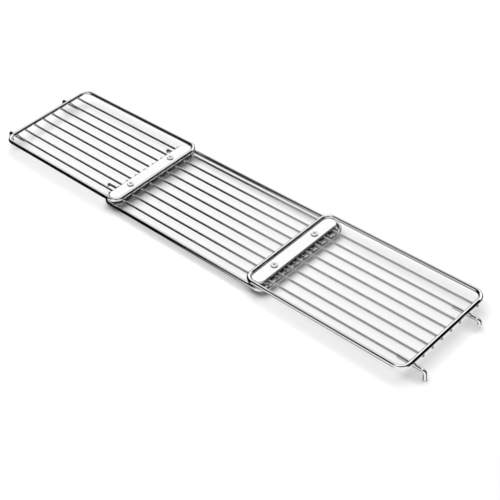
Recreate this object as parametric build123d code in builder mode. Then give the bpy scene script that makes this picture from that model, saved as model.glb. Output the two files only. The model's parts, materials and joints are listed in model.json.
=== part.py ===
"""Grill warming rack: three welded wire panels that telescope, held by two screwed clamps.

Millimetres, +Z up, X along the rods, -Y to the front. The origin is on the standing surface
under the middle of the rack. The outer panels are drawn out to their full reach.
"""

import os

from build123d import *

os.makedirs("parts", exist_ok=True)

# Wires
frame_wire = 5.0
rod_wire = 3.0
leg_wire = 4.5
peg_wire = 3.0
weld_sink = 0.3
corner_radius = 12.0

# Panels, measured over the wire
outer_length = 228.0
outer_width = 145.0
centre_length = 277.0
centre_width = 144.0
outer_rods = 8
outer_pitch = 15.4
centre_rods = 9
centre_pitch = 14.6
outer_rod_overhang = 2.0
centre_rod_overhang = 0.5

# Legs at the far ends of the outer panels
leg_inset = 18.0
leg_reach = 15.5
leg_bend = 4.0
leg_chamfer = 1.0
front_leg_tail = 9.0
back_leg_tail = 2.5
legged_rods = {"back": 2, "front": 8}
leg_tails = {"back": back_leg_tail, "front": front_leg_tail}

# Pegs at the left end of the centre panel
peg_inset = 4.0
peg_bend = 3.5
peg_tail = 1.5
peg_side_gap = 0.2
peg_chamfer = 0.5
pegged_rods = {"back": 2, "front": 8}
peg_reaches = {"back": 8.5, "front": 16.5}

# Clamps
slide_clearance = 0.3
seat_gap = 0.2
plate_end_gap = 1.3
top_plate_width = 18.5
top_plate_thickness = 2.0
bottom_plate_width = 22.5
bottom_plate_thickness = 2.0
plate_edge_fillet = 1.2
screw_diameter = 5.0
screw_hole_clearance = 0.3
screw_head_diameter = 9.0
screw_head_height = 1.2
screw_head_fillet = 0.6
screw_tip = 1.2
recess_length = 4.2
recess_width = 1.0
recess_depth = 0.9
nut_across_flats = 8.0
nut_height = 4.0
nut_chamfer = 0.5
thread_clearance = 0.1

# Heights of the wire axes, worked up from the front leg tips
leg_z = leg_bend + front_leg_tail
outer_frame_z = leg_z + leg_wire / 2 + frame_wire / 2 - weld_sink
outer_rod_z = outer_frame_z - frame_wire / 2 - rod_wire / 2 + weld_sink
centre_rod_z = outer_frame_z - frame_wire / 2 - slide_clearance - rod_wire / 2
centre_frame_z = centre_rod_z - rod_wire / 2 - frame_wire / 2 + weld_sink
peg_z = centre_frame_z + frame_wire / 2 + peg_wire / 2 - weld_sink

# Places of the frame ends along X: each top plate fits between the two ends that overlap
centre_end = (centre_length - frame_wire) / 2
plate_outer_edge = centre_end - frame_wire / 2 - plate_end_gap
plate_inner_edge = plate_outer_edge - top_plate_width
inner_end = plate_inner_edge - slide_clearance - frame_wire / 2
outer_end = inner_end + outer_length - frame_wire
outer_middle = (inner_end + outer_end) / 2

# Plates are nested in the round corners of the frame ends
nest_radius = corner_radius - frame_wire / 2 - slide_clearance
top_plate_length = outer_width - 2 * frame_wire - 2 * slide_clearance
bottom_plate_length = centre_width - 2 * frame_wire - 2 * slide_clearance
top_plate_z = outer_rod_z + rod_wire / 2 + seat_gap
bottom_plate_z = centre_rod_z - rod_wire / 2 - slide_clearance - bottom_plate_thickness
head_z = top_plate_z + top_plate_thickness
nut_z = bottom_plate_z - nut_height
screw_bottom = nut_z - screw_tip


def rod_y(number, count, pitch):
    """Y of a rod, numbered from 1 at the back."""
    return ((count + 1) / 2 - number) * pitch


# Each screw stands midway between an outer rod and the centre rod beside it
screw_x = (plate_inner_edge + plate_outer_edge) / 2
screw_gap_rods = {"outer": 2, "centre": 3}
screw_y = (
    rod_y(screw_gap_rods["outer"], outer_rods, outer_pitch)
    + rod_y(screw_gap_rods["centre"], centre_rods, centre_pitch)
) / 2


def save(piece, name):
    """Label a finished piece and write it to its own file."""
    piece.part.label = name
    export_step(piece.part, f"parts/{name}.step")


def frame_loop(name, length, width, middle_x, height):
    """A wire bent into a rectangle with round corners, its ends butt-welded."""
    half_x = (length - frame_wire) / 2
    half_y = (width - frame_wire) / 2
    with BuildPart() as frame:
        with BuildLine(Plane((middle_x, 0, height))) as path:
            start = Line((0, -half_y), (half_x - corner_radius, -half_y))
            turn = RadiusArc(start @ 1, (half_x, corner_radius - half_y), -corner_radius)
            side = Line(turn @ 1, (half_x, half_y - corner_radius))
            turn = RadiusArc(side @ 1, (half_x - corner_radius, half_y), -corner_radius)
            Line(turn @ 1, (0, half_y))
            mirror(about=Plane.YZ.offset(middle_x))
        with BuildSketch(Plane(start @ 0, z_dir=start % 0)):
            Circle(frame_wire / 2)
        sweep(path=path.wire())
    save(frame, name)


def straight_rod(name, x_from, x_to, y, height):
    """A straight length of rod wire along X."""
    with BuildPart() as rod:
        with BuildSketch(Plane.YZ.offset(min(x_from, x_to))):
            with Locations((y, height)):
                Circle(rod_wire / 2)
        extrude(amount=abs(x_to - x_from))
    save(rod, name)


def bent_wire(name, wire, x_from, x_to, y, height, bend, tail, tip_chamfer):
    """A wire that runs along X, turns down and ends in a straight tail with a chamfered tip."""
    tip = height - bend - tail
    with BuildPart() as hook:
        with BuildLine(Plane.XZ.offset(-y)):
            path = FilletPolyline((x_from, height), (x_to, height), (x_to, tip), radius=bend)
        with BuildSketch(Plane(path @ 0, z_dir=path % 0)):
            Circle(wire / 2)
        sweep(path=path)
        chamfer(hook.faces().sort_by(Axis.Z)[0].edges(), length=tip_chamfer)
    save(hook, name)


def clamp_plate(name, side, inner_edge, width, length, thickness, height):
    """A flat plate across the rods, with round corners, soft top edges and two screw holes."""
    with BuildPart() as plate:
        with BuildSketch(Plane((side * (inner_edge + width / 2), 0, height))):
            RectangleRounded(width, length, nest_radius)
        extrude(amount=thickness)
        fillet(plate.faces().sort_by(Axis.Z)[-1].edges(), radius=plate_edge_fillet)
        with Locations(
            (side * screw_x, screw_y, height + thickness),
            (side * screw_x, -screw_y, height + thickness),
        ):
            Hole((screw_diameter + screw_hole_clearance) / 2, depth=thickness)
    save(plate, name)


def clamp_screws(name, side):
    """Two pan-head screws with a cross recess."""
    with BuildPart() as screws:
        with BuildSketch(Plane.XY.offset(head_z)):
            with Locations((side * screw_x, screw_y), (side * screw_x, -screw_y)):
                Circle(screw_head_diameter / 2)
        extrude(amount=screw_head_height)
        fillet(screws.edges().group_by(Axis.Z)[-1], radius=screw_head_fillet)
        with BuildSketch(Plane.XY.offset(head_z)):
            with Locations((side * screw_x, screw_y), (side * screw_x, -screw_y)):
                Circle(screw_diameter / 2)
        extrude(amount=screw_bottom - head_z)
        with BuildSketch(Plane.XY.offset(head_z + screw_head_height)):
            with Locations((side * screw_x, screw_y), (side * screw_x, -screw_y)):
                Rectangle(recess_length, recess_width)
                Rectangle(recess_width, recess_length)
        extrude(amount=-recess_depth, mode=Mode.SUBTRACT)
    save(screws, name)


def clamp_nuts(name, side):
    """Two hexagon nuts under the bottom plate."""
    with BuildPart() as nuts:
        with BuildSketch(Plane.XY.offset(nut_z)):
            with Locations((side * screw_x, screw_y), (side * screw_x, -screw_y)):
                RegularPolygon(nut_across_flats / 2, side_count=6, major_radius=False)
                Circle((screw_diameter + thread_clearance) / 2, mode=Mode.SUBTRACT)
        extrude(amount=nut_height)
        rim = nuts.faces().group_by(Axis.Z)[0].edges().filter_by(GeomType.LINE)
        chamfer(rim, length=nut_chamfer)
    save(nuts, name)


def centre_panel():
    """The middle grid, with its frame beneath the rods and two pegs at its left end."""
    frame_loop("centre_frame", centre_length, centre_width, 0, centre_frame_z)
    reach = centre_end + centre_rod_overhang
    for number in range(1, centre_rods + 1):
        y = rod_y(number, centre_rods, centre_pitch)
        straight_rod(f"centre_rod_{number}", -reach, reach, y, centre_rod_z)
    for place, number in pegged_rods.items():
        beside = rod_y(number, centre_rods, centre_pitch)
        step = (rod_wire + peg_wire) / 2 + peg_side_gap
        y = beside + step if beside > 0 else beside - step
        x_from = peg_inset - centre_end
        x_to = -centre_end - peg_reaches[place]
        bent_wire(f"centre_peg_{place}", peg_wire, x_from, x_to, y, peg_z, peg_bend, peg_tail, peg_chamfer)


def outer_panel(hand, side):
    """A grid that slides along the centre panel, with its frame on top of the rods and its clamp."""
    frame_loop(f"{hand}_frame", outer_length, outer_width, side * outer_middle, outer_frame_z)
    for number in range(1, outer_rods + 1):
        y = rod_y(number, outer_rods, outer_pitch)
        far = outer_end - leg_inset if number in legged_rods.values() else outer_end + outer_rod_overhang
        near = inner_end - outer_rod_overhang
        straight_rod(f"{hand}_rod_{number}", side * near, side * far, y, outer_rod_z)
    for place, number in legged_rods.items():
        y = rod_y(number, outer_rods, outer_pitch)
        x_from = side * (outer_end - leg_inset)
        x_to = side * (outer_end + leg_reach)
        tail = leg_tails[place]
        bent_wire(f"{hand}_leg_{place}", leg_wire, x_from, x_to, y, leg_z, leg_bend, tail, leg_chamfer)
    clamp_plate(
        f"{hand}_clamp_top_plate", side, plate_inner_edge,
        top_plate_width, top_plate_length, top_plate_thickness, top_plate_z,
    )
    clamp_plate(
        f"{hand}_clamp_bottom_plate", side, plate_outer_edge - bottom_plate_width,
        bottom_plate_width, bottom_plate_length, bottom_plate_thickness, bottom_plate_z,
    )
    clamp_screws(f"{hand}_clamp_screws", side)
    clamp_nuts(f"{hand}_clamp_nuts", side)


centre_panel()
outer_panel("left", -1)
outer_panel("right", 1)
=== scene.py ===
# %% [markdown]
# # A telescoping warming rack in bright chrome
# The rack is three grids of welded wire. The two outer grids slide along the centre grid, and a pair of
# clamp plates with screws holds each of them. The imported model already has every wire, plate, screw and nut
# at its real size, so this lesson is about finish: chrome only looks like chrome when the room around it has
# something to reflect. We load the model first.

# %% Load the imported model
import json
import math

import bmesh
import bpy
from mathutils import Matrix, Vector, noise

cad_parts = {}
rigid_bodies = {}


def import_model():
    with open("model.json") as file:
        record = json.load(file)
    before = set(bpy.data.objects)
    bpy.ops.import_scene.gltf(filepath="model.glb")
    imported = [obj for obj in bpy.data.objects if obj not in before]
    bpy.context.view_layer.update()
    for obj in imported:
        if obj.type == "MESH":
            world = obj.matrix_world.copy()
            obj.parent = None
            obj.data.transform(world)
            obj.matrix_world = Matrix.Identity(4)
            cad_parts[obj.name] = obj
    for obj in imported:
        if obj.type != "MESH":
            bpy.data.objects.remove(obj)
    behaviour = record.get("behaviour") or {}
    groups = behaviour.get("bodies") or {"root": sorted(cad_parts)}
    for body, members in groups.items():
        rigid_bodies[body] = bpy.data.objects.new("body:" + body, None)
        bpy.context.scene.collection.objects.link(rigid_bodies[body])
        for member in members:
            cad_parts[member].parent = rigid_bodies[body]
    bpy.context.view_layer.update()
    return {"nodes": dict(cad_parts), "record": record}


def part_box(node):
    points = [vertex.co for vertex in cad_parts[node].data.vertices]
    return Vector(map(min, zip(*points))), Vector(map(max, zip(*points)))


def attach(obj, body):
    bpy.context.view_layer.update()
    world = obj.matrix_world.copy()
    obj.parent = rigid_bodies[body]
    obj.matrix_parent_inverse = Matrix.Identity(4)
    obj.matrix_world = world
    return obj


for leftover in list(bpy.data.objects):
    bpy.data.objects.remove(leftover)
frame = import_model()
nodes = frame["nodes"]
mm = 0.001

# %% [markdown]
# ## The camera
# A long lens stands to the right and in front, about forty degrees above the table, and leans a little to
# one side. We could parent a camera to an empty and turn that, but building its three axes from azimuth,
# elevation and roll keeps every angle readable as a single named value.

# %% Camera
camera_azimuth = math.radians(49.144)
camera_elevation = math.radians(40.726)
camera_roll = math.radians(-7.65)
camera_place = Vector((0.8418, -0.6885, 0.8811))
sensor_width = 36.0
lens_length = 83.45


def camera_axes(azimuth, elevation, roll):
    """Right, up and back directions of a camera that looks at the rack from these angles."""
    back = Vector((
        math.sin(azimuth) * math.cos(elevation),
        -math.cos(azimuth) * math.cos(elevation),
        math.sin(elevation),
    ))
    right = Vector((0, 0, 1)).cross(back).normalized()
    up = back.cross(right)
    turn = Matrix.Rotation(roll, 3, back)
    return turn @ right, turn @ up, back


camera_data = bpy.data.cameras.new("camera")
camera_data.sensor_width = sensor_width
camera_data.lens = lens_length
camera = bpy.data.objects.new("camera", camera_data)
bpy.context.scene.collection.objects.link(camera)
right, up, back = camera_axes(camera_azimuth, camera_elevation, camera_roll)
camera.matrix_world = Matrix.Translation(camera_place) @ Matrix((right, up, back)).transposed().to_4x4()
bpy.context.scene.camera = camera
print("camera", tuple(round(c, 3) for c in camera.location))

# %% [markdown]
# ## Helpers for node trees
# The room and every finish are made of nodes. They could be placed by hand in the node editor, but then their
# values would be hidden in the file. A few short helpers build them from code instead: a node with its
# settings, a link or a plain number, a sum, a mix of shaders, and a soft step from one level to another.

# %% Node helpers


def add_node(tree, kind, label="", **settings):
    """A new node with its settings in place."""
    node = tree.nodes.new(kind)
    node.label = label
    for key, value in settings.items():
        setattr(node, key, value)
    return node


def is_socket(value):
    """True for a node's output, False for a plain number."""
    return hasattr(value, "is_output")


def wire_up(tree, source, target):
    """Join an output socket, or put a plain number, on an input socket."""
    if is_socket(source):
        tree.links.new(source, target)
    else:
        target.default_value = source


def math_node(tree, operation, first, *others):
    """A chain of one arithmetic operation, returned as its last output socket."""
    for other in others or (0.0,):
        node = add_node(tree, "ShaderNodeMath", operation=operation)
        wire_up(tree, first, node.inputs[0])
        wire_up(tree, other, node.inputs[1])
        first = node.outputs[0]
    return first


def ramp_node(tree, value, low, high, out_low=0.0, out_high=1.0):
    """A smooth change from out_low to out_high as value goes from low to high."""
    node = add_node(tree, "ShaderNodeMapRange", interpolation_type="SMOOTHSTEP")
    for socket, amount in zip(node.inputs, (value, low, high, out_low, out_high)):
        wire_up(tree, amount, socket)
    return node.outputs[0]


def soft_step(tree, value, edge, soft, below=0.0, above=1.0):
    """A smooth step where value passes an edge, which is a number or a socket."""
    if is_socket(edge):
        low, high = math_node(tree, "SUBTRACT", edge, soft), math_node(tree, "ADD", edge, soft)
    else:
        low, high = edge - soft, edge + soft
    return ramp_node(tree, value, low, high, below, above)


def mix_shaders(tree, share, first, second):
    """Two shaders mixed by a share from 0 to 1."""
    mix = add_node(tree, "ShaderNodeMixShader")
    for source, socket in zip((share, first, second), mix.inputs):
        tree.links.new(source, socket)
    return mix.outputs[0]


helpers = (add_node, wire_up, math_node, ramp_node, soft_step, mix_shaders)
print("helpers", [helper.__name__ for helper in helpers])

# %% [markdown]
# ## Black walls for the wires to mirror
# A polished wire is a mirror bent round an axis, so the thin black line along each wire is the dark part of
# the room squeezed into a stripe. A black wall stands in front, and its foot is higher on the right. A low
# wall closes the far left, and the wall on the right is lower at the back. A dark curtain hangs in front at
# the right, and the horizon at the back is dim. We could hang black cards as meshes. Masks that read only the
# direction of a ray do the same, with no parallax and no noise.

# %% Black walls
edge_soft = 0.08
front_wall = {"split": -0.588, "soft": 0.05, "left": (-2.0, 112.0), "right": (29.0, 110.0), "fade": 4.0}
front_wall_edge = {"step": (40.0, 60.0), "right": (0.25, -0.34)}
right_wall = {"edge": 0.05, "front": -0.25, "step": (0.61, 0.66), "top": (0.94, 0.35)}
left_wall = {"edge": -0.80, "soft": 0.03, "top": 0.42}
back_dark = {"top": 0.20, "soft": 0.06, "front": 0.2, "depth": 0.9}
curtain = {"toward": (0.50, -0.44, 0.745), "spread": (0.84, 0.92)}


def front_wall_mask(tree, x, rise):
    """The wall in front, between a foot and a top in degrees that differ for the two halves of the room."""
    split, soft, fade = front_wall["split"], front_wall["soft"], front_wall["fade"]
    foot, top = (
        soft_step(tree, x, split, soft, left, right)
        for left, right in zip(front_wall["left"], front_wall["right"])
    )
    above = soft_step(tree, rise, foot, fade)
    below = soft_step(tree, rise, top, fade, 1.0, 0.0)
    edge = ramp_node(tree, rise, *front_wall_edge["step"], *front_wall_edge["right"])
    left_of = soft_step(tree, x, edge, edge_soft, 1.0, 0.0)
    return math_node(tree, "MULTIPLY", above, below, left_of)


def right_wall_mask(tree, x, y, z):
    """The wall on the right, which is lower at the back."""
    beside = soft_step(tree, x, right_wall["edge"], edge_soft)
    top = ramp_node(tree, y, *right_wall["step"], *right_wall["top"])
    under = soft_step(tree, z, top, edge_soft, 1.0, 0.0)
    behind = soft_step(tree, y, right_wall["front"], edge_soft)
    return math_node(tree, "MULTIPLY", beside, under, behind)


def left_wall_mask(tree, x, z):
    """The low wall at the far left."""
    far_left = soft_step(tree, x, left_wall["edge"], left_wall["soft"], 1.0, 0.0)
    low_down = soft_step(tree, z, left_wall["top"], edge_soft, 1.0, 0.0)
    return math_node(tree, "MULTIPLY", far_left, low_down)


def horizon_mask(tree, y, z):
    """The dim strip along the horizon at the back."""
    low_down = soft_step(tree, z, back_dark["top"], back_dark["soft"], back_dark["depth"], 0.0)
    at_back = soft_step(tree, y, back_dark["front"], edge_soft)
    return math_node(tree, "MULTIPLY", low_down, at_back)


def curtain_mask(tree, ray):
    """The dark curtain in front at the right, which the bends of the wires mirror."""
    toward = add_node(tree, "ShaderNodeVectorMath", operation="DOT_PRODUCT")
    tree.links.new(ray, toward.inputs[0])
    toward.inputs[1].default_value = Vector(curtain["toward"]).normalized()
    return ramp_node(tree, toward.outputs["Value"], *curtain["spread"])


print("front wall, degrees", front_wall["left"], "on the left,", front_wall["right"], "on the right")

# %% [markdown]
# ## The floor as the wires mirror it
# The lower side of each wire mirrors the table, which is pale in the middle, dark far out at the sides and at
# the back, and shaded straight under the rack. The white sheet that we lay down later could be mirrored
# instead, but then it couldn't be white for the camera and dark in places for the wires.

# %% Mirrored floor
table = {
    "split": -0.588,
    "soft": 0.05,
    "left": 0.85,
    "middle": 0.0,
    "right": 0.78,
    "right_edge": 0.2,
    "back": 0.5,
    "back_edge": (0.60, 0.70),
}
table_tone = {"soft": 0.06, "dark": 0.01, "light": 0.95}
under_rack = {"steep": 0.40, "soft": 0.03, "edge": -0.30, "tone": 0.08}


def table_level(tree, x, y, z):
    """Brightness of the floor in a mirror: dark for shallow rays to the sides and back, else pale."""
    left = soft_step(tree, x, table["split"], table["soft"], table["left"], table["middle"])
    beside = soft_step(tree, x, table["right_edge"], edge_soft)
    behind = ramp_node(tree, y, 0.0, edge_soft)
    right = math_node(tree, "MULTIPLY", beside, behind, table["right"])
    far_back = ramp_node(tree, y, *table["back_edge"], 0.0, table["back"])
    reach = math_node(tree, "MAXIMUM", left, right, far_back)
    steep = math_node(tree, "MULTIPLY", z, -1.0)
    pale = soft_step(tree, steep, reach, table_tone["soft"], table_tone["dark"], table_tone["light"])
    straight_down = soft_step(tree, steep, under_rack["steep"], under_rack["soft"])
    leftward = soft_step(tree, x, under_rack["edge"], edge_soft, 1.0, 0.0)
    shaded = math_node(tree, "MULTIPLY", straight_down, leftward)
    return math_node(tree, "MULTIPLY", pale, ramp_node(tree, shaded, 0.0, 1.0, 1.0, under_rack["tone"]))


print("mirrored floor, dark to light", table_tone["dark"], table_tone["light"])

# %% [markdown]
# ## The studio
# The world joins the walls and the mirrored floor under a white sky. Mirrors see all of it. Matt surfaces see
# a plain dim dome instead, so that the walls don't shade the floor, and the camera sees plain white. A
# photograph of a studio could light the rack as well, but here every wall has a value of its own to change.

# %% Studio world
world = bpy.data.worlds.new("studio")
world.use_nodes = True
bpy.context.scene.world = world
bpy.context.scene.view_settings.view_transform = "Standard"
dome_strength = 0.05
backdrop_strength = 1.0
card_white = 1.1
dark_level = 0.004
horizon_soft = 0.02


def mirrored_room(tree):
    """Brightness that a mirror sees in each direction."""
    ray = add_node(tree, "ShaderNodeTexCoord").outputs["Generated"]
    split = add_node(tree, "ShaderNodeSeparateXYZ")
    tree.links.new(ray, split.inputs[0])
    x, y, z = split.outputs
    forward = math_node(tree, "MULTIPLY", y, -1.0)
    rise = math_node(tree, "DEGREES", math_node(tree, "ARCTAN2", z, forward))
    dark = math_node(
        tree, "MAXIMUM",
        front_wall_mask(tree, x, rise),
        right_wall_mask(tree, x, y, z),
        horizon_mask(tree, y, z),
        left_wall_mask(tree, x, z),
        curtain_mask(tree, ray),
    )
    room = ramp_node(tree, dark, 0.0, 1.0, card_white, dark_level)
    down = ramp_node(tree, z, -horizon_soft, 0.0, 1.0, 0.0)
    return ramp_node(tree, down, 0.0, 1.0, room, table_level(tree, x, y, z))


def white_light(tree, label, strength):
    """A white background of a given strength."""
    light = add_node(tree, "ShaderNodeBackground", label=label)
    light.inputs["Color"].default_value = (1.0, 1.0, 1.0, 1.0)
    wire_up(tree, strength, light.inputs["Strength"])
    return light.outputs[0]


def build_studio(tree):
    """The room for mirrors, a plain dome for matt surfaces and a white backdrop for the camera."""
    tree.nodes.clear()
    cards = white_light(tree, "what mirrors see", mirrored_room(tree))
    dome = white_light(tree, "what lights matt surfaces", dome_strength)
    bare = white_light(tree, "plain white backdrop", backdrop_strength)
    ray_kind = add_node(tree, "ShaderNodeLightPath").outputs
    mirrored = math_node(tree, "MAXIMUM", ray_kind["Is Glossy Ray"], ray_kind["Is Transmission Ray"])
    lit = mix_shaders(tree, mirrored, dome, cards)
    seen = mix_shaders(tree, ray_kind["Is Camera Ray"], lit, bare)
    output = add_node(tree, "ShaderNodeOutputWorld")
    tree.links.new(seen, output.inputs[0])


build_studio(world.node_tree)
print("studio nodes", len(world.node_tree.nodes))

# %% [markdown]
# ## Floor and overhead light
# The shadows lie almost straight under the wires and are soft, so the main light is one large panel overhead.
# Several small lamps could light it too, but each would add a shadow of its own. The floor is a plain white
# sheet that takes the shadows. Away from the rack it fades to a flat white, because a single lamp can't keep
# a whole table evenly bright. Mirrors don't see the sheet: the studio already holds the floor for them.

# %% Floor and lamp
floor_size = 8.0
floor_white = 0.95
floor_fade = (0.42, 0.75)
lamp_size = (2.6, 2.6)
lamp_shift = (-0.22, 0.2)
lamp_height = 2.0
lamp_power = 70.0


def floor_finish():
    """Matt white that turns to an even white away from the rack."""
    finish = bpy.data.materials.new("white_table")
    finish.use_nodes = True
    tree = finish.node_tree
    tree.nodes.clear()
    sheet = add_node(tree, "ShaderNodeBsdfDiffuse")
    sheet.inputs["Color"].default_value = (floor_white, floor_white, floor_white, 1.0)
    glow = add_node(tree, "ShaderNodeEmission")
    place = add_node(tree, "ShaderNodeTexCoord").outputs["Object"]
    distance = add_node(tree, "ShaderNodeVectorMath", operation="LENGTH")
    tree.links.new(place, distance.inputs[0])
    away = ramp_node(tree, distance.outputs["Value"], *floor_fade)
    output = add_node(tree, "ShaderNodeOutputMaterial")
    tree.links.new(mix_shaders(tree, away, sheet.outputs[0], glow.outputs[0]), output.inputs[0])
    return finish


def flat_sheet(name, size):
    """A square sheet lying at the height where the legs stand."""
    mesh = bpy.data.meshes.new(name)
    half = size / 2
    corners = [(-half, -half, 0), (half, -half, 0), (half, half, 0), (-half, half, 0)]
    mesh.from_pydata(corners, [], [(0, 1, 2, 3)])
    sheet = bpy.data.objects.new(name, mesh)
    bpy.context.scene.collection.objects.link(sheet)
    return sheet


floor = flat_sheet("floor", floor_size)
floor.data.materials.append(floor_finish())
floor.visible_glossy = False
lamp_data = bpy.data.lights.new("overhead_panel", "AREA")
lamp_data.shape = "RECTANGLE"
lamp_data.size, lamp_data.size_y = lamp_size
lamp_data.energy = lamp_power
lamp = bpy.data.objects.new("overhead_panel", lamp_data)
lamp.location = (*lamp_shift, lamp_height)
lamp.visible_glossy = False
bpy.context.scene.collection.objects.link(lamp)
print("floor", floor_size, "lamp", lamp_size)

# %% [markdown]
# ## Shared effects
# Chrome plate is never perfectly even. Two small effects repeat on every piece: a faint haze that makes the
# mirror a little softer in patches, and the fine lines left by drawing the wire or rolling the sheet. Their
# nodes could be copied into every material, but a change would then have to be made in each of them. A node
# group with named sockets is built once, and every finish places it with its own values.

# %% Plating haze and drawn lines groups
haze_detail = 4.0
haze_range = (0.35, 0.75)
line_detail = 3.0
line_scale = 1.0


def new_group(name, inputs, output):
    """An empty shader group with its sockets made, and its two end nodes."""
    group = bpy.data.node_groups.new(name, "ShaderNodeTree")
    for label, kind in inputs.items():
        group.interface.new_socket(label, in_out="INPUT", socket_type=kind)
    group.interface.new_socket(output, in_out="OUTPUT", socket_type="NodeSocketFloat")
    return group, add_node(group, "NodeGroupInput"), add_node(group, "NodeGroupOutput")


def haze_group():
    """Roughness that wanders between a clear and a hazy value in soft patches."""
    sockets = {label: "NodeSocketFloat" for label in ("Size", "Clear", "Hazy")}
    group, start, end = new_group("plating_haze", sockets, "Roughness")
    place = add_node(group, "ShaderNodeTexCoord").outputs["Object"]
    cloud = add_node(group, "ShaderNodeTexNoise")
    cloud.inputs["Detail"].default_value = haze_detail
    group.links.new(place, cloud.inputs["Vector"])
    group.links.new(start.outputs["Size"], cloud.inputs["Scale"])
    limits = start.outputs["Clear"], start.outputs["Hazy"]
    group.links.new(ramp_node(group, cloud.outputs["Fac"], *haze_range, *limits), end.inputs["Roughness"])
    return group


def lines_group():
    """Height of fine lines that run along one direction."""
    group, start, end = new_group("drawn_lines", {"Stretch": "NodeSocketVector"}, "Height")
    place = add_node(group, "ShaderNodeTexCoord").outputs["Object"]
    pull = add_node(group, "ShaderNodeVectorMath", operation="MULTIPLY")
    group.links.new(place, pull.inputs[0])
    group.links.new(start.outputs["Stretch"], pull.inputs[1])
    grain = add_node(group, "ShaderNodeTexNoise")
    grain.inputs["Scale"].default_value = line_scale
    grain.inputs["Detail"].default_value = line_detail
    group.links.new(pull.outputs[0], grain.inputs["Vector"])
    group.links.new(grain.outputs["Fac"], end.inputs["Height"])
    return group


plating_haze = haze_group()
drawn_lines = lines_group()
print("groups", [group.name for group in bpy.data.node_groups])

# %% [markdown]
# ## The chrome finishes
# Every finish is one metal shader fed by the two groups. The lines of the rods run lengthwise and those of
# the clamp plates across the rack. The two short pegs are rougher, and their dark colour is painted shade for
# the shade they lie in under the clamps. The lower plates are rougher plain metal, darkened further as
# painted shade for the gap under each top plate. The weld marks are rough. A brushed metal could use
# anisotropy instead, but a very small bump keeps its look when the model is exported.

# %% Metal finishes
line_depth = 0.02 * mm
haze_size = 70.0


def metal(name, colour, clear, hazy, lines, bump):
    """A plated finish: mirror metal, patchy haze and fine lines."""
    finish = bpy.data.materials.new(name)
    finish.use_nodes = True
    tree = finish.node_tree
    shader = tree.nodes["Principled BSDF"]
    shader.inputs["Base Color"].default_value = (*colour, 1.0)
    shader.inputs["Metallic"].default_value = 1.0
    haze = add_node(tree, "ShaderNodeGroup", node_tree=plating_haze)
    haze.inputs["Size"].default_value = haze_size
    haze.inputs["Clear"].default_value = clear
    haze.inputs["Hazy"].default_value = hazy
    tree.links.new(haze.outputs["Roughness"], shader.inputs["Roughness"])
    grain = add_node(tree, "ShaderNodeGroup", node_tree=drawn_lines)
    grain.inputs["Stretch"].default_value = lines
    relief = add_node(tree, "ShaderNodeBump")
    relief.inputs["Strength"].default_value = bump
    relief.inputs["Distance"].default_value = line_depth
    tree.links.new(grain.outputs["Height"], relief.inputs["Height"])
    tree.links.new(relief.outputs["Normal"], shader.inputs["Normal"])
    return finish


along_x = (30.0, 3000.0, 3000.0)
along_y = (1200.0, 25.0, 1200.0)
even = (900.0, 900.0, 900.0)
finishes = {
    "frame_wire": metal(
        "bright_frame_wire", (0.87, 0.875, 0.88), clear=0.02, hazy=0.06, lines=even, bump=0.25
    ),
    "rod_wire": metal(
        "bright_rod_wire", (0.86, 0.865, 0.87), clear=0.015, hazy=0.05, lines=along_x, bump=0.2
    ),
    "leg_wire": metal(
        "bright_leg_wire", (0.85, 0.855, 0.86), clear=0.03, hazy=0.09, lines=even, bump=0.3
    ),
    "polished_plate": metal(
        "polished_plate", (0.89, 0.89, 0.895), clear=0.04, hazy=0.10, lines=along_y, bump=0.3
    ),
    # darker plain metal, darkened further as painted shade for the deep gap under each top plate
    "plain_plate": metal(
        "plain_plate", (0.34, 0.34, 0.345), clear=0.08, hazy=0.16, lines=along_y, bump=0.4
    ),
    "screw_steel": metal(
        "bright_screw", (0.82, 0.82, 0.825), clear=0.05, hazy=0.12, lines=even, bump=0.4
    ),
}
# the pegs' dark base colour is painted shade for the clamps' shadow they lie in; their roughness is their own
painted_shade_peg_finish = metal("painted_shade_peg", (0.40, 0.40, 0.395), clear=0.14, hazy=0.26, lines=even, bump=0.4)
weld_finish = metal("weld_metal", (0.62, 0.615, 0.60), clear=0.16, hazy=0.32, lines=even, bump=0.6)
slot_of = {part["node"]: part["material_slot"] for part in frame["record"]["subparts"]}
for name, piece in nodes.items():
    piece.data.materials.clear()
    piece.data.materials.append(painted_shade_peg_finish if "peg" in name else finishes[slot_of[name]])
print("finishes", sorted(finishes))

# %% [markdown]
# ## Weld marks
# Each crossing is spot-welded: the wires sink into each other and a little metal is squeezed out round the
# contact. A boolean union with a fillet would make that collar exactly, but it is slow and gives poor
# meshes. A small flattened ball with some noise, sunk into both wires, looks the same at this size.

# %% Weld marks
lump = 0.16
lump_size = 1.1 / mm
ball_rings, ball_segments = 8, 18


def weld_ball(mesh, place, radii):
    """One lumpy flattened ball, added to a bmesh."""
    made = bmesh.ops.create_uvsphere(mesh, u_segments=ball_segments, v_segments=ball_rings, radius=1.0)
    for vertex in made["verts"]:
        spot = Vector(a * b for a, b in zip(vertex.co, radii)) + place
        swell = 1.0 + lump * noise.noise(spot * lump_size)
        vertex.co = place + (spot - place) * swell


def mesh_piece(name, mesh, finish, body):
    """Turn a bmesh into a smooth piece that rides on a body."""
    for face in mesh.faces:
        face.smooth = True
    data = bpy.data.meshes.new(name)
    mesh.to_mesh(data)
    mesh.free()
    data.materials.append(finish)
    piece = bpy.data.objects.new(name, data)
    bpy.context.scene.collection.objects.link(piece)
    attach(piece, body)


print("weld ball", ball_segments, "by", ball_rings)

# %% [markdown]
# ## Welds on each panel
# Every rod, leg and peg is welded where it crosses an end of its frame, and two rods of each outer panel meet
# a leg end to end. Their places could be typed in as a list. Reading them from the boxes of the pieces keeps
# each weld on its wires. The centre panel's collars lie in plain view on top of its frame and are smaller.
# Each panel gets one mesh of them, which rides on that panel.

# %% Welds on each panel
collar_radius = 1.7 * mm
collar_height = 0.55 * mm
collar_wire = 3.0 * mm
collar_scale = {"centre": 0.5, "left": 1.0, "right": 1.0}
butt_length = 1.3 * mm
butt_grow = 1.06


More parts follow.
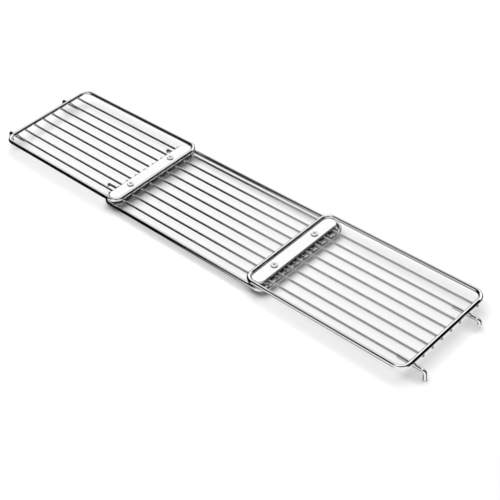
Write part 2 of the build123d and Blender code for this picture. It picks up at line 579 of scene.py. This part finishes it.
def crossing_welds(mesh, frame_node, wire_node, scale):
    """Collars where a wire along X crosses the two ends of a frame that it reaches."""
    frame_low, frame_high = (Vector(corner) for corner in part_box(frame_node))
    wire_low, wire_high = (Vector(corner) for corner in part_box(wire_node))
    frame_wire = frame_high.z - frame_low.z
    wire_size = wire_high.y - wire_low.y
    above = wire_high.z > frame_high.z
    contact = frame_high.z if above else frame_low.z
    for end in (frame_low.x + frame_wire / 2, frame_high.x - frame_wire / 2):
        if wire_low.x < end < wire_high.x:
            place = Vector((end, (wire_low.y + wire_high.y) / 2, contact))
            spread = collar_radius * math.sqrt(wire_size / collar_wire) * scale
            weld_ball(mesh, place, (spread, spread, collar_height * scale))


def butt_weld(mesh, rod_node, leg_node):
    """The swelling where a rod meets the end of a leg."""
    rod_low, rod_high = (Vector(corner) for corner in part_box(rod_node))
    leg_low, leg_high = (Vector(corner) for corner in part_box(leg_node))
    meet = rod_high.x if abs(rod_high.x - leg_low.x) < abs(rod_low.x - leg_high.x) else rod_low.x
    leg_size = leg_high.y - leg_low.y
    place = Vector((meet, (leg_low.y + leg_high.y) / 2, leg_high.z - leg_size / 2))
    weld_ball(mesh, place, (butt_length, leg_size / 2 * butt_grow, leg_size / 2 * butt_grow))


welded_kinds = ("_rod_", "_leg_", "_peg_")
legged_rods = {"back": 2, "front": 8}
for hand in ("centre", "left", "right"):
    lumps = bmesh.new()
    for name in nodes:
        if name.startswith(hand) and any(kind in name for kind in welded_kinds):
            crossing_welds(lumps, f"{hand}_frame", name, collar_scale[hand])
    if hand != "centre":
        for end, number in legged_rods.items():
            butt_weld(lumps, f"{hand}_rod_{number}", f"{hand}_leg_{end}")
    balls = len(lumps.verts) // (ball_segments * (ball_rings - 1) + 2)
    mesh_piece(f"{hand}_welds", lumps, weld_finish, f"{hand}_panel")
    print(hand, "welds", balls)

# %% [markdown]
# ## Screw threads
# Under each nut the tip of a screw shows. Its thread is a ridge that climbs round the shank. A screw modifier
# could wind it, but a short helix of three-sided rows needs no extra object, and the part inside the nut
# can't be seen.

# %% Screw threads
thread_pitch = 0.8 * mm
thread_rise = 0.22 * mm
thread_sink = 0.08 * mm
thread_steps = 28
ridge_sides = 3
shank_radius = 2.5 * mm


def thread_ridge(mesh, axis, low, high):
    """A helical ridge round a vertical shank between two heights."""
    turns = (high - low - thread_pitch / 2) / thread_pitch
    rows = []
    for step in range(round(turns * thread_steps) + 1):
        angle = step / thread_steps * math.tau
        out = Vector((math.cos(angle), math.sin(angle), 0))
        height = low + thread_pitch / 4 + step / thread_steps * thread_pitch
        profile = [
            (shank_radius - thread_sink, height - thread_pitch / 4),
            (shank_radius + thread_rise, height),
            (shank_radius - thread_sink, height + thread_pitch / 4),
        ]
        rows.append([mesh.verts.new(axis + out * r + Vector((0, 0, z))) for r, z in profile])
    for first, second in zip(rows, rows[1:]):
        for side in range(ridge_sides):
            other = (side + 1) % ridge_sides
            mesh.faces.new((first[side], second[side], second[other], first[other]))
    mesh.faces.new(rows[0])
    mesh.faces.new(rows[-1][::-1])


for hand in ("left", "right"):
    ridges = bmesh.new()
    screw_low, screw_high = (Vector(corner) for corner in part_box(f"{hand}_clamp_screws"))
    nut_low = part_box(f"{hand}_clamp_nuts")[0][2]
    head_radius = (screw_high.x - screw_low.x) / 2
    for y in (screw_low.y + head_radius, screw_high.y - head_radius):
        axis = Vector(((screw_low.x + screw_high.x) / 2, y, 0))
        thread_ridge(ridges, axis, screw_low.z, nut_low)
    mesh_piece(f"{hand}_threads", ridges, finishes["screw_steel"], f"{hand}_panel")
print("threads", "pitch", thread_pitch)
